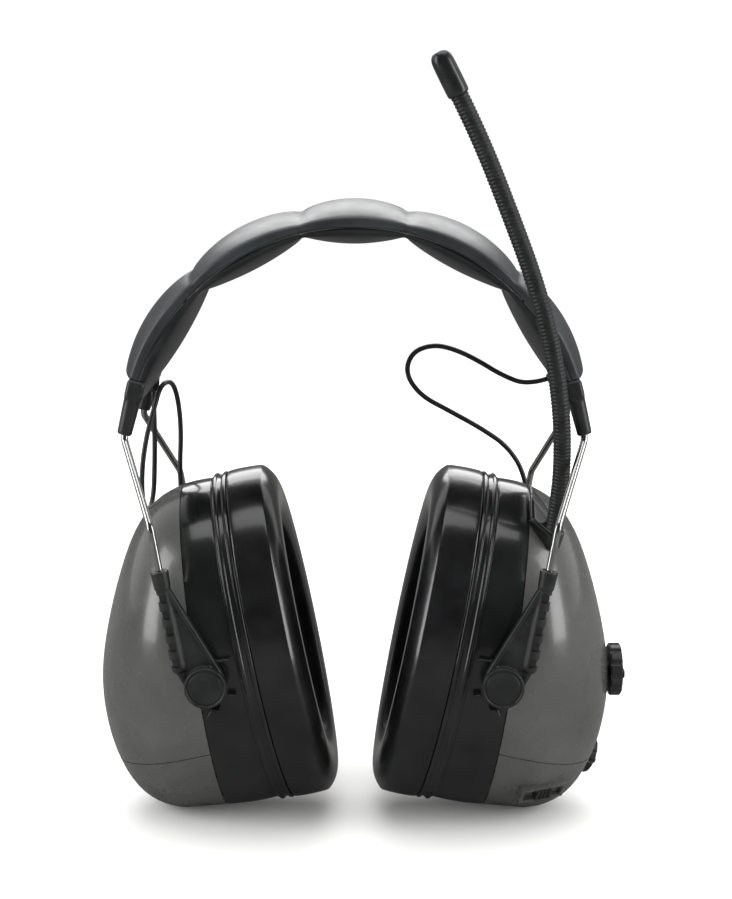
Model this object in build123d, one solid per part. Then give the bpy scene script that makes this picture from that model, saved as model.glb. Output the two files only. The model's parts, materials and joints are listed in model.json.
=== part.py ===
from build123d import *
import math
import os

# Radio earmuffs with a padded spring-wire headband.
# Millimetres. +Z up, +X towards the radio cup (the wearer's left hand side is free to
# choose, because the cups turn round), +Y the front. The origin is the middle of the
# crown pad's underside, where the band rests on a head. Names starting "cup_" or with
# u, y, v are in a cup's own frame: u outwards from the seal face, v up, y to the front.

# ---- driving dimensions: headband --------------------------------------------------
band_radius = 75.0  # to the spring wires' centre
band_drop = 68.3  # from the origin down to the arc's centre
band_half_width = 28.0
cover_edge = 2.0  # cover's height above the wires at its edges
cover_crown = 7.7  # and in the middle
lining_edge = 1.7
lining_crown = band_radius - band_drop
flex_angle = 47.0  # where each side of the band flexes
flex_travel = 26.0  # how far a side opens, degrees
cover_end_angle = 70.5
rivet_angles = (-42.0, -13.0, 13.0, 42.0)
rivet_seat = 4.3  # above the wires
rivet_head_radius = 2.5
rivet_head_height = 1.2
rivet_shank_radius = 1.2
rivet_recess_radius = 4.0

wire_radius = 1.2
wire_spacing = 25.5  # each wire's distance from the middle of the band
wire_gap = 0.45  # half the gap at the flex, so that the ends don't meet
wire_bend = 4.0

yoke_start_angle = 70.8
yoke_end_angle = 75.5
yoke_inner = 72.1
yoke_outer = 78.4
yoke_half_width = 28.4
leg_radius = 2.6
leg_length = 12.0
web_half_width = 16.0
web_end_angle = 77.5
spout_radius = 1.9
spout_length = 6.0

# ---- driving dimensions: pivot arms ------------------------------------------------
pivot_x = 48.3
pivot_z = -140.4
arm_plane = 46.5  # each arm's distance from the middle plane
arm_lean = 10.0  # degrees, the slide's lean outwards
arm_offset = 7.75  # from the pivot's centre to the wire
tube_bottom = 6.0
tube_top = 40.2
tube_radius = 2.3
collar_radius = 2.75
collar_length = 6.5
wire_end = 20.0
wire_bend_height = 54.5
eye_radius = 6.2
arm_thickness = 3.8
web_thickness = 2.4
window_pitch = 5.2
window_count = 5
window_length = 2.8
height_up = 12.0
height_down = 16.0
pin_radius = 2.5
button_radius = 6.85
button_height = 2.7

# ---- driving dimensions: cups ------------------------------------------------------
face_x = 14.1
face_z = -133.4
cup_tilt = 11.5
cup_wall = 2.5
depth_ratio = 0.735  # a cup's front-to-back size over its height
# (u, middle of the section in v, half height)
skin_sections = (
    (24.5, 0.0, 58.0),
    (33.0, 0.0, 58.2),
    (45.0, -1.1, 55.8),
    (56.5, -6.6, 49.6),
    (63.9, -11.85, 41.75),
    (70.2, -16.2, 32.7),
    (75.1, -18.2, 21.6),
    (78.2, -18.3, 7.3),
)
parting_u = 38.5  # where the outer shell meets the inner cup, at v = 0
parting_slope = 0.065
lower_seam_u = 44.0
lower_seam_v = -27.5
lower_seam_slope = 0.1
seam_gap = 0.15  # half the gap at a seam

flange_thickness = 2.0
port_half_height = 42.0
port_half_depth = 28.0
seal_ring_back = 24.5
seal_ring_front = 19.0
seal_ring_half_height = 59.0
seal_ring_half_depth = 43.6
cushion_front = 2.0
cushion_half_height = 59.4
cushion_half_depth = 43.8
ear_half_height = 39.0
ear_half_depth = 25.0
cushion_round = 6.0

foam_front = 27.5
foam_back = 36.6
foam_half_height = 42.0
foam_half_depth = 28.0
baffle_front = 37.3
baffle_thickness = 2.0
baffle_half_height = 53.5
baffle_half_depth = 37.7
speaker_radius = 20.0
speaker_rim = 3.0
magnet_radius = 12.0
magnet_depth = 4.7
speaker_hole = 17.0
post_y = 25.5
post_v = 34.5
post_radius = 3.5
screw_radius = 1.5
screw_head_radius = 2.7
screw_head_height = 1.9
screw_length = 8.0

boss_radius = 4.5
boss_face = 44.2
gland_radius = 2.6
gland_reach = 15.0

# ---- driving dimensions: what the cups carry ---------------------------------------
cell_radius = 7.25
cell_length = 50.5
cell_u = 56.2
cell_v = (-26.6, -11.0)
tray_front = 47.4
tray_thickness = 1.4
tray_half_depth = 27.9
tray_wall = 1.2
contact_thickness = 0.4

board_front = 58.0
board_thickness = 1.6
board_half_depth = 22.0
board_bottom = -35.0
board_top = 19.0

tuning_radius = 9.2
tuning_height = 4.2
tuning_shaft_radius = 2.5
volume_radius = 6.5
volume_height = 2.5
volume_shaft_radius = 2.0
knob_gap = 0.7
knob_ribs = 12

switch_length = 16.6
switch_width = 8.2
switch_depth = 5.0
slider_length = 5.6
slider_width = 4.6
slider_travel = 4.0

whip_radius = 3.0
tip_radius = 3.6
tip_length = 14.3
socket_radius = 4.6

cord_radius = 0.9

running = 0.05  # radial clearance of a shaft in its hole
fit = 0.1  # clearance round what is clipped in place
moving = 0.3  # clearance between pieces that move past each other

arc_centre = Vector(0, 0, -band_drop)
band_axis = Axis((0, 0, -band_drop), (0, 1, 0))


# ---- helpers -----------------------------------------------------------------------
def save(name, shape):
    """Writes one sub-part."""
    export_step(shape, os.path.join("parts", name + ".step"))


def both_sides(name, shape):
    """Writes a right-hand piece and its mirror image."""
    save("right_" + name, shape)
    save("left_" + name, mirror(shape, about=Plane.YZ))


def on_arc(radius, degrees, y=0.0):
    """The point at a radius and an angle from the top of the band's arc."""
    turn = math.radians(degrees)
    return Vector(radius * math.sin(turn), y, radius * math.cos(turn) - band_drop)


def along_arc(degrees):
    """The arc's direction at an angle, away from the crown on the right."""
    turn = math.radians(degrees)
    return Vector(math.cos(turn), 0, -math.sin(turn))


def cylinder(start, direction, radius, length):
    """A cylinder from a point, along a direction."""
    plane = Plane(origin=start, z_dir=direction)
    return extrude(plane * Circle(radius), length)


def tube_along(path, radius):
    """A round bar along a path."""
    section = Plane(origin=path @ 0, z_dir=path % 0) * Circle(radius)
    return sweep(section, path=path)


def in_cup(shape):
    """Moves a shape from the right cup's frame to the model's."""
    return shape.moved(Location((face_x, 0, face_z), (0, cup_tilt, 0)))


def oval(u, half_height, half_depth, middle=0.0):
    """An oval across a cup at one distance from its seal face."""
    plane = Plane(origin=(u, 0, middle), x_dir=(0, 1, 0), z_dir=(1, 0, 0))
    return plane * Ellipse(half_depth, half_height)


def oval_plate(front, back, half_height, half_depth, middle=0.0):
    """An oval plate between two distances from the seal face."""
    return extrude(oval(front, half_height, half_depth, middle), back - front)


# ---- headband ----------------------------------------------------------------------
def band_section(edge, crown):
    """Half of the pad's cross-section, above the wires, or below for a negative size."""
    base = Vector(0, 0, band_radius - band_drop)
    low = Vector(0, band_half_width, 0)
    rise = Vector(0, 0, edge)
    outline = [
        Line(base - low, base + low),
        Line(base + low, base + low + rise),
        ThreePointArc(base + low + rise, base + Vector(0, 0, crown), base - low + rise),
        Line(base - low + rise, base - low),
    ]
    return make_face(outline)


def band_solid(section, start, end, start_lean=0.0, end_lean=0.0):
    """A length of pad, whose end faces lean so that the band can flex."""
    spare = 6.0
    turned = section.rotate(band_axis, start - spare)
    solid = revolve(turned, axis=band_axis, revolution_arc=end - start + 2 * spare)
    first = Plane(origin=on_arc(band_radius, start), z_dir=along_arc(start + start_lean))
    last = Plane(origin=on_arc(band_radius, end), z_dir=along_arc(end + end_lean))
    solid = split(solid, bisect_by=first, keep=Keep.TOP)
    return split(solid, bisect_by=last, keep=Keep.BOTTOM)


def arc_wire(start, end, y):
    """The wires' arc between two angles."""
    middle = (start + end) / 2
    return ThreePointArc(
        on_arc(band_radius, start, y), on_arc(band_radius, middle, y), on_arc(band_radius, end, y)
    )


def in_arm(across, along, y=0.0):
    """A point near the right arm: across from the pivot, outwards, and along the wire."""
    lean = math.radians(arm_lean)
    x = pivot_x + across * math.cos(lean) + along * math.sin(lean)
    return Vector(x, y, pivot_z - across * math.sin(lean) + along * math.cos(lean))


def side_wire_path(sign):
    """From the flex, through the yoke's leg, out to the arm and down into its tube."""
    y = sign * wire_spacing
    start = flex_angle + math.degrees(wire_gap / band_radius)
    arc = arc_wire(start, yoke_end_angle, y)
    leg_end = on_arc(band_radius, yoke_end_angle, y)
    out = leg_end + along_arc(yoke_end_angle) * (leg_length + 1.6)
    elbow = in_arm(arm_offset, wire_bend_height, sign * arm_plane)
    end = in_arm(arm_offset, wire_end, sign * arm_plane)
    run = FilletPolyline(leg_end, out, elbow, end, radius=wire_bend)
    return Wire([arc] + list(run.edges()))


def rivets():
    """The studs that pinch the pad between its puffs."""
    solids = []
    for angle in rivet_angles:
        seat = on_arc(band_radius + rivet_seat, angle)
        outwards = (on_arc(band_radius + 1, angle) - on_arc(band_radius, angle)).normalized()
        head = cylinder(seat, outwards, rivet_head_radius, rivet_head_height)
        shank_length = rivet_seat + lining_crown / 2
        solids.append(head + cylinder(seat, outwards * -1, rivet_shank_radius, shank_length))
    return solids


def rivet_holes():
    """What the studs need cut out of the cover and the lining."""
    holes = []
    for angle in rivet_angles:
        seat = on_arc(band_radius + rivet_seat, angle)
        outwards = (on_arc(band_radius + 1, angle) - on_arc(band_radius, angle)).normalized()
        hole_length = rivet_seat + lining_crown / 2 + fit
        hole = cylinder(seat, outwards * -1, rivet_shank_radius + fit, hole_length)
        holes.append(cylinder(seat, outwards, rivet_recess_radius, cover_crown) + hole)
    return holes


def make_crown():
    """The middle of the band, between the two flexes."""
    lean = flex_travel / 2 + 0.5
    gap = math.degrees(moving / band_radius)
    end = flex_angle - gap
    cover = band_solid(band_section(cover_edge, cover_crown), -end, end, lean, -lean)
    lining = band_solid(band_section(-lining_edge, -lining_crown), -end, end)
    wire_end_angle = flex_angle - math.degrees(wire_gap / band_radius)
    for sign, place in ((-1, "rear"), (1, "front")):
        path = Wire([arc_wire(-wire_end_angle, wire_end_angle, sign * wire_spacing)])
        save(place + "_crown_wire", tube_along(path, wire_radius))
        channel = Wire([arc_wire(-flex_angle, flex_angle, sign * wire_spacing)])
        groove = tube_along(channel, wire_radius + fit)
        cover -= groove
        lining -= groove
    for hole in rivet_holes():
        cover -= hole
        lining -= hole
    save("crown_cover", cover)
    save("crown_lining", lining)
    save("band_rivets", Compound(children=rivets()))


def make_sides():
    """Each end of the band: its pad, its yoke and its two wires."""
    lean = flex_travel / 2 + 0.5
    gap = math.degrees(moving / band_radius)
    start = flex_angle + gap
    cover = band_solid(band_section(cover_edge, cover_crown), start, cover_end_angle, lean)
    lining = band_solid(band_section(-lining_edge, -lining_crown), start, cover_end_angle)
    height = yoke_outer - yoke_inner
    middle = (yoke_outer + yoke_inner) / 2 - band_drop
    face = Plane(origin=(0, 0, middle), x_dir=(0, 1, 0), z_dir=(1, 0, 0))
    block = face * RectangleRounded(2 * yoke_half_width, height, height / 3)
    yoke_arc = yoke_end_angle - yoke_start_angle
    yoke = revolve(block.rotate(band_axis, yoke_start_angle), axis=band_axis, revolution_arc=yoke_arc)
    web_face = Plane(origin=(0, 0, band_radius - band_drop), x_dir=(0, 1, 0), z_dir=(1, 0, 0))
    web = web_face * Rectangle(2 * web_half_width, leg_radius)
    web_arc = web_end_angle - yoke_end_angle + 1
    yoke += revolve(web.rotate(band_axis, yoke_end_angle - 1), axis=band_axis, revolution_arc=web_arc)
    for sign, place in ((-1, "rear"), (1, "front")):
        top = on_arc(band_radius, yoke_end_angle, sign * wire_spacing)
        along = along_arc(yoke_end_angle)
        yoke += cylinder(top - along * 2, along, leg_radius, leg_length + 2)
        path = side_wire_path(sign)
        both_sides(place + "_wire", tube_along(path, wire_radius))
        arc = Wire([arc_wire(flex_angle, yoke_end_angle, sign * wire_spacing)])
        groove = tube_along(arc, wire_radius + fit)
        cover -= groove
        lining -= groove
        yoke -= groove
        yoke -= cylinder(top - along * 0.01, along, wire_radius + fit, leg_length + 1)
    both_sides("band_cover", cover)
    both_sides("band_lining", lining)
    # each yoke has its own spout, because the two cords leave in different directions
    for name, side, route in (("left", -1, left_cord_route), ("right", 1, right_cord_route)):
        start = Vector(*route[0])
        out = (Vector(*route[1]) - start).normalized()
        spout = cylinder(start - out * spout_length, out, spout_radius, spout_length)
        body = yoke if side > 0 else mirror(yoke, about=Plane.YZ)
        save(name + "_yoke", body + spout)


# ---- pivot arms --------------------------------------------------------------------
def make_arms():
    """Each arm slides on a wire and carries one side of a cup on its eye."""
    frame = Location((pivot_x, 0, pivot_z), (0, arm_lean, 0))
    half = arm_thickness / 2
    side_on = Plane(origin=(0, half, 0), x_dir=(1, 0, 0), z_dir=(0, -1, 0))
    eye = extrude(side_on * Circle(eye_radius), arm_thickness)
    web_plane = Plane(origin=(0, web_thickness / 2, 0), x_dir=(1, 0, 0), z_dir=(0, -1, 0))
    tube_line = arm_offset
    outline = Polyline(
        (-eye_radius * 0.8, eye_radius * 0.6),
        (tube_line - tube_radius / 2, tube_top - collar_length),
        (tube_line, tube_top - collar_length),
        (tube_line + tube_radius / 2, tube_bottom + 1),
        (eye_radius * 0.9, -eye_radius * 0.4),
        (0, 0),
        close=True,
    )
    web = extrude(web_plane * make_face(outline), web_thickness)
    tube = cylinder((tube_line, 0, tube_bottom), (0, 0, 1), tube_radius, tube_top - tube_bottom)
    collar_start = tube_top - collar_length
    collar = cylinder((tube_line, 0, collar_start), (0, 0, 1), collar_radius, collar_length)
    arm = eye + web + tube + collar
    bore_bottom = wire_end - height_up - 1
    bore = cylinder((tube_line, 0, bore_bottom), (0, 0, 1), wire_radius + running, tube_top)
    arm -= bore
    for index in range(window_count):
        z = collar_start - window_pitch * (index + 0.5)
        window = Location((tube_line + tube_radius, 0, z)) * Box(
            1.8 * tube_radius, 1.8 * wire_radius, window_length
        )
        arm -= window
    hole_start = Vector(0, -arm_thickness, 0)
    arm -= cylinder(hole_start, (0, 1, 0), pin_radius + running, 2 * arm_thickness)
    for sign, place in ((-1, "rear"), (1, "front")):
        placed = arm.moved(frame).moved(Location((0, sign * arm_plane, 0)))
        both_sides(place + "_arm", placed)


def make_pivot(sign):
    """A button whose pin goes through the arm's eye into the cup's boss."""
    outwards = Vector(0, sign, 0)
    under = arm_plane + arm_thickness / 2 + moving
    centre = Vector(pivot_x, 0, pivot_z)
    head = cylinder(centre + outwards * under, outwards, button_radius, button_height)
    rim = cylinder(centre + outwards * under, outwards, button_radius, button_height - 0.7)
    inner = button_radius - 1.0
    head = rim + cylinder(centre + outwards * under, outwards, inner, button_height)
    pin_start = cup_half_depth_at_pivot - 2.0
    pin = cylinder(centre + outwards * pin_start, outwards, pin_radius, under - pin_start)
    return head + pin


# ---- cups --------------------------------------------------------------------------
widest = max(half for _, _, half in skin_sections)
deepest_u = skin_sections[-1][0]
first_u = skin_sections[0][0]
cup_half_depth_at_pivot = widest * depth_ratio - cup_wall


def skin(wall):
    """The cup's outside, or its hollow for a wall's thickness inside it."""
    shrink = (widest - wall) / widest
    depth_shrink = (widest * depth_ratio - wall) / (widest * depth_ratio)
    shorten = (deepest_u - wall - first_u) / (deepest_u - first_u)
    sections = []
    for u, middle, half in skin_sections:
        at = first_u + (u - first_u) * shorten
        sections.append(oval(at, half * shrink, half * depth_ratio * depth_shrink, middle))
    return loft(sections)


def parting(offset):
    """The plane between the inner cup and the outer shell."""
    normal = Vector(1, 0, parting_slope).normalized()
    return Plane(origin=Vector(parting_u, 0, 0) + normal * offset, z_dir=normal)


def lower_seam(offset):
    """The plane between the outer shell and its lower cover."""
    normal = Vector(lower_seam_slope, 0, 1).normalized()
    return Plane(origin=Vector(lower_seam_u, 0, lower_seam_v) + normal * offset, z_dir=normal)


def pivot_in_cup():
    """The pivot's u and v, from its place in the model."""
    turn = math.radians(cup_tilt)
    x = pivot_x - face_x
    z = pivot_z - face_z
    return x * math.cos(turn) - z * math.sin(turn), x * math.sin(turn) + z * math.cos(turn)


def posts(radius, start, end):
    """Cylinders at the four places where the baffle is screwed down."""
    solids = []
    for y in (-post_y, post_y):
        for v in (-post_v, post_v):
            solids.append(cylinder((start, y, v), (1, 0, 0), radius, end - start))
    return solids


def make_cup_pieces():
    """What both cups have. Returns the hull of the outer shell, to be cut for each cup."""
    hull = skin(0) - skin(cup_wall)
    inner_cup = split(hull, bisect_by=parting(-seam_gap), keep=Keep.BOTTOM)
    shell = split(hull, bisect_by=parting(seam_gap), keep=Keep.TOP)

    _, _, half = skin_sections[0]
    flange = oval_plate(first_u, first_u + flange_thickness, half - 0.5, half * depth_ratio - 0.5)
    flange -= oval_plate(
        first_u - 1, first_u + flange_thickness + 1, port_half_height, port_half_depth
    )
    inner_cup += flange
    for post in posts(post_radius, first_u + flange_thickness / 2, baffle_front):
        inner_cup += post
    pivot_u, pivot_v = pivot_in_cup()
    inside = cup_half_depth_at_pivot - 2.5
    for sign in (-1, 1):
        start = Vector(pivot_u, sign * inside, pivot_v)
        inner_cup += cylinder(start, (0, sign, 0), boss_radius, boss_face - inside)
        shell -= cylinder(start, (0, sign, 0), boss_radius + 2 * seam_gap, boss_face - inside)
        start = Vector(pivot_u, sign * (inside - 1), pivot_v)
        bore_radius = pin_radius + running
        inner_cup -= cylinder(start, (0, sign, 0), bore_radius, boss_face - inside + 2)
    for hole in posts(screw_radius + 0.02, baffle_front - screw_length, baffle_front + 1):
        inner_cup -= hole
    both_sides("inner_cup", in_cup(inner_cup))

    seal_ring = oval_plate(
        seal_ring_front, seal_ring_back, seal_ring_half_height, seal_ring_half_depth
    ) - oval_plate(
        seal_ring_front - 1, seal_ring_back + 1, port_half_height, port_half_depth
    )
    both_sides("seal_ring", in_cup(seal_ring))

    cushion = oval_plate(cushion_front, seal_ring_front, cushion_half_height, cushion_half_depth)
    cushion = fillet(cushion.edges().filter_by(GeomType.ELLIPSE).group_by(Axis.X)[0], cushion_round)
    cushion -= oval_plate(-1, seal_ring_front + 1, ear_half_height, ear_half_depth)
    both_sides("cushion", in_cup(cushion))

    foam = oval_plate(foam_front, foam_back, foam_half_height, foam_half_depth)
    both_sides("foam_liner", in_cup(foam))

    baffle_back = baffle_front + baffle_thickness
    baffle = oval_plate(baffle_front, baffle_back, baffle_half_height, baffle_half_depth)
    baffle -= cylinder((baffle_front - 1, 0, 0), (1, 0, 0), speaker_hole, baffle_thickness + 2)
    for hole in posts(screw_radius + fit, baffle_front - 1, baffle_back + 1):
        baffle -= hole
    both_sides("speaker_baffle", in_cup(baffle))

    speaker = cylinder((baffle_back, 0, 0), (1, 0, 0), speaker_radius, speaker_rim)
    speaker += cylinder((baffle_back, 0, 0), (1, 0, 0), magnet_radius, speaker_rim + magnet_depth)
    cone = Plane(origin=(baffle_back, 0, 0), x_dir=(0, 1, 0), z_dir=(1, 0, 0))
    speaker -= extrude(cone * Circle(speaker_hole), speaker_rim - 1, taper=45)
    both_sides("speaker", in_cup(speaker))

    screws = []
    for shank, head in zip(
        posts(screw_radius, baffle_front - screw_length + 0.5, baffle_back),
        posts(screw_head_radius, baffle_back, baffle_back + screw_head_height),
    ):
        screws.append(in_cup(shank + head))
    save("right_baffle_screws", Compound(children=screws))
    mirrored = [mirror(screw, about=Plane.YZ) for screw in screws]
    save("left_baffle_screws", Compound(children=mirrored))

    for name, route in (("left", left_cord_route), ("right", right_cord_route)):
        end = Vector(*route[-1])
        out = (Vector(*route[-2]) - end).normalized()
        body = in_cup(skin(0)) if name == "right" else mirror(in_cup(skin(0)), about=Plane.YZ)
        gland = cylinder(end - out * gland_reach, out, gland_radius, gland_reach) - body
        save(name + "_cord_gland", gland)
    for sign, place in ((-1, "rear"), (1, "front")):
        both_sides(place + "_pivot", make_pivot(sign))
    return shell


def make_left_cup(shell):
    """The battery cup: a door that slides off, a tray, two cells and their contacts."""
    upper = split(shell, bisect_by=lower_seam(seam_gap), keep=Keep.TOP)
    door = split(shell, bisect_by=lower_seam(-seam_gap), keep=Keep.BOTTOM)
    low = cell_v[0] - 3.0
    high = cell_v[1] + cell_radius + 1.0
    back = Box(tray_thickness, 2 * tray_half_depth, high - low)
    tray = Location((tray_front + tray_thickness / 2, 0, (low + high) / 2)) * back
    wall_u = cell_u + 1.0
    cells = []
    contacts = []
    for sign in (-1, 1):
        wall = Box(wall_u - tray_front, tray_wall, high - low)
        at = ((wall_u + tray_front) / 2, sign * (tray_half_depth - tray_wall / 2), (low + high) / 2)
        tray += Location(at) * wall
    for v in cell_v:
        start = Vector(cell_u, -cell_length / 2, v)
        cells.append(in_cup(cylinder(start, (0, 1, 0), cell_radius, cell_length)))
        for sign in (-1, 1):
            at = (cell_u - 2.0, sign * (cell_length / 2 + fit + contact_thickness / 2), v)
            plate = Location(at) * Box(6.0, contact_thickness, 7.0)
            stem_width = tray_half_depth - tray_wall - cell_length / 2 - fit - contact_thickness
            at = (cell_u - 4.0, sign * (tray_half_depth - tray_wall - stem_width / 2), v)
            plate += Location(at) * Box(2.0, stem_width, 4.0)
            contacts.append(in_cup(plate))
    pieces = {"outer_shell": in_cup(upper), "battery_door": in_cup(door), "battery_tray": in_cup(tray)}
    for name, piece in pieces.items():
        save("left_" + name, mirror(piece, about=Plane.YZ))
    save("batteries", Compound(children=[mirror(cell, about=Plane.YZ) for cell in cells]))
    mirrored = [mirror(contact, about=Plane.YZ) for contact in contacts]
    save("battery_contacts", Compound(children=mirrored))


def skin_frame(u, y, v, normal, along):
    """A working plane on a cup's skin."""
    z_dir = Vector(*normal).normalized()
    x_dir = Vector(*along) - z_dir * Vector(*along).dot(z_dir)
    return Plane(origin=(u, y, v), x_dir=x_dir.normalized(), z_dir=z_dir)


def knob(frame, radius, height, shaft_radius, ribs):
    """A round knob with a fluted edge, one rib across its top and a shaft below."""
    top = knob_gap + height
    base = extrude(frame.offset(knob_gap) * Circle(radius), height)
    base = chamfer(base.edges().filter_by(GeomType.CIRCLE), 0.5)
    for index in range(ribs):
        turn = 2 * math.pi * index / ribs
        at = (radius * 1.06 * math.cos(turn), radius * 1.06 * math.sin(turn))
        flute = frame.offset(knob_gap - 1) * (Location(at) * Circle(radius * 0.16))
        base -= extrude(flute, height + 2)
    rib = frame.offset(top - 0.5) * RectangleRounded(radius * 1.5, radius * 0.3, radius * 0.1)
    base += extrude(rib, 1.3)
    return base + extrude(frame.offset(-7.5) * Circle(shaft_radius), 7.5 + knob_gap + 1)


def encoder(frame, shaft_radius, radius):
    """The turning part's electrical half, between the circuit board and the shell."""
    body = extrude(frame.offset(-24) * Circle(radius), 24 - cup_wall - 1.2)
    body -= extrude(frame.offset(-8.5) * Circle(shaft_radius + running), 8.5)
    board_back = Plane(origin=(board_front + board_thickness, 0, 0), z_dir=(1, 0, 0))
    return split(body, bisect_by=board_back, keep=Keep.TOP)


def make_right_cup(shell):
    """The radio cup: board, two knobs, a band switch and the whip's bracket."""
    tuning = skin_frame(76.2, 0, -1.4, (0.98, 0, 0.2), (0, 1, 0))
    volume = skin_frame(75.9, 5.0, -35.0, (0.977, 0.102, -0.186), (0, 1, 0))
    switch = skin_frame(59.6, -24.3, -41.8, (0.404, -0.737, -0.543), (1, 0, 0))

    for frame, radius in ((tuning, tuning_shaft_radius), (volume, volume_shaft_radius)):
        shell -= extrude(frame.offset(-12) * Circle(radius + running), 16)
    pocket = extrude(switch.offset(-8) * Rectangle(switch_length + 2 * fit, switch_width + 2 * fit), 16)
    shell -= pocket
    save("right_outer_shell", in_cup(split(shell, bisect_by=lower_seam(seam_gap), keep=Keep.TOP)))
    save("right_lower_cover", in_cup(split(shell, bisect_by=lower_seam(-seam_gap), keep=Keep.BOTTOM)))

    at = (board_front + board_thickness / 2, 0, (board_bottom + board_top) / 2)
    board = Location(at) * Box(board_thickness, 2 * board_half_depth, board_top - board_bottom)
    save("circuit_board", in_cup(board))
    tuning_knob = knob(tuning, tuning_radius, tuning_height, tuning_shaft_radius, knob_ribs)
    volume_knob = knob(volume, volume_radius, volume_height, volume_shaft_radius, knob_ribs)
    save("tuning_knob", in_cup(tuning_knob))
    save("volume_knob", in_cup(volume_knob))
    save("tuning_encoder", in_cup(encoder(tuning, tuning_shaft_radius, 5.5)))
    save("volume_encoder", in_cup(encoder(volume, volume_shaft_radius, 4.5)))

    body = extrude(switch.offset(-switch_depth) * Rectangle(switch_length, switch_width), switch_depth + 0.7)
    slot_length = slider_length + 2 * slider_travel + 2 * moving
    slot = switch.offset(-1.9) * Rectangle(slot_length, slider_width + 2 * moving)
    save("switch_body", in_cup(body - extrude(slot, 4)))
    slider = extrude(switch.offset(-1.6) * Rectangle(slider_length, slider_width), 3.2)
    for shift in (-1.4, 0, 1.4):
        groove = switch.offset(1.2) * (Location((shift, 0)) * Rectangle(0.6, slider_width + 1))
        slider -= extrude(groove, 1)
    save("band_switch", in_cup(slider))

    # the whip's socket stands on the shell, with a foot that follows the skin
    base = Vector(*whip_route[0])
    up = (Vector(*whip_route[1]) - base).normalized()
    socket = cylinder(base - up * 14, up, socket_radius, 14)
    foot = cylinder(base - up * 14 + Vector(-6.5, 0, 0.5), up, socket_radius * 0.8, 10)
    bracket = socket + foot - in_cup(skin(0))
    outer_piece = sorted(bracket.solids(), key=lambda solid: solid.volume)[-1]
    save("antenna_bracket", outer_piece)


# ---- whip and cords ----------------------------------------------------------------
whip_route = (
    (66.3, -24.4, -95.0),
    (68.0, -25.8, -81.5),
    (68.4, -28.2, -69.5),
    (67.6, -31.8, -55.5),
    (65.5, -33.4, -40.0),
    (61.8, -34.4, -23.5),
    (56.7, -35.0, -7.2),
    (50.0, -35.3, 10.0),
    (42.6, -35.6, 28.2),
    (36.6, -35.8, 41.2),
    (32.6, -36.0, 49.0),
)
left_cord_route = (
    (-71.6, 21.0, -54.0),
    (-71.5, 21.6, -66.0),
    (-71.9, 22.8, -79.5),
    (-72.6, 23.5, -92.5),
    (-73.6, 16.0, -97.0),
    (-74.8, 8.5, -92.5),
    (-74.9, 9.0, -80.0),
    (-73.2, 11.0, -68.5),
    (-70.6, 14.2, -58.8),
    (-68.6, 18.0, -51.2),
    (-65.4, 25.3, -50.8),
    (-63.7, 29.6, -58.6),
    (-63.0, 30.3, -70.5),
    (-63.9, 30.2, -84.6),
    (-63.2, 29.0, -98.3),
)
right_cord_route = (
    (68.0, 21.0, -49.6),
    (61.0, 21.9, -52.0),
    (52.0, 23.2, -48.6),
    (44.0, 24.5, -43.8),
    (36.0, 25.7, -39.9),
    (27.9, 27.0, -38.1),
    (20.2, 27.5, -40.9),
    (17.8, 28.0, -48.6),
    (23.2, 28.5, -56.7),
    (33.5, 29.0, -62.3),
    (45.5, 29.5, -69.0),
    (55.5, 30.0, -76.0),
    (61.9, 30.0, -86.9),
    (63.2, 29.0, -98.3),
)


def soft_path(name, route, radius):
    """Straight runs joined by arcs as large as the runs allow."""
    points = [Vector(*point) for point in route]
    radii = []
    for before, here, after in zip(points, points[1:], points[2:]):
        first = here - before
        second = after - here
        shorter = min(first.length, second.length)
        turn = first.get_angle(second)
        radii.append(0.45 * shorter / math.tan(math.radians(turn) / 2))
    path = FilletPolyline(*points, radius=radii)
    wire = Wire(list(path.edges()))
    print(name, "length", round(wire.length, 1), "smallest radius", round(min(radii), 1))
    print("  radii", [round(value, 1) for value in radii])
    solid = tube_along(wire, radius)
    print("  volume over section times length", round(solid.volume / (math.pi * radius**2 * wire.length), 4))
    return solid


def make_flexible():
    """The whip with its tip, and the two cords."""
    save("antenna_whip", soft_path("antenna_whip", whip_route, whip_radius))
    top = Vector(*whip_route[-1])
    along = (top - Vector(*whip_route[-2])).normalized()
    tip = cylinder(top, along, tip_radius, tip_length)
    save("antenna_tip", fillet(tip.edges().sort_by(Axis.Z)[-1], tip_radius * 0.6))
    save("left_cord", soft_path("left_cord", left_cord_route, cord_radius))
    save("right_cord", soft_path("right_cord", right_cord_route, cord_radius))


os.makedirs("parts", exist_ok=True)
make_crown()
make_sides()
make_arms()
outer_shell = make_cup_pieces()
make_left_cup(outer_shell)
make_right_cup(outer_shell)
make_flexible()
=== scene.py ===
# Radio earmuffs with a padded spring-wire headband. Metres, +Z up, +Y the wearer's front.
import bpy
import bmesh
import json
import math
from mathutils import Matrix, Vector


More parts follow.
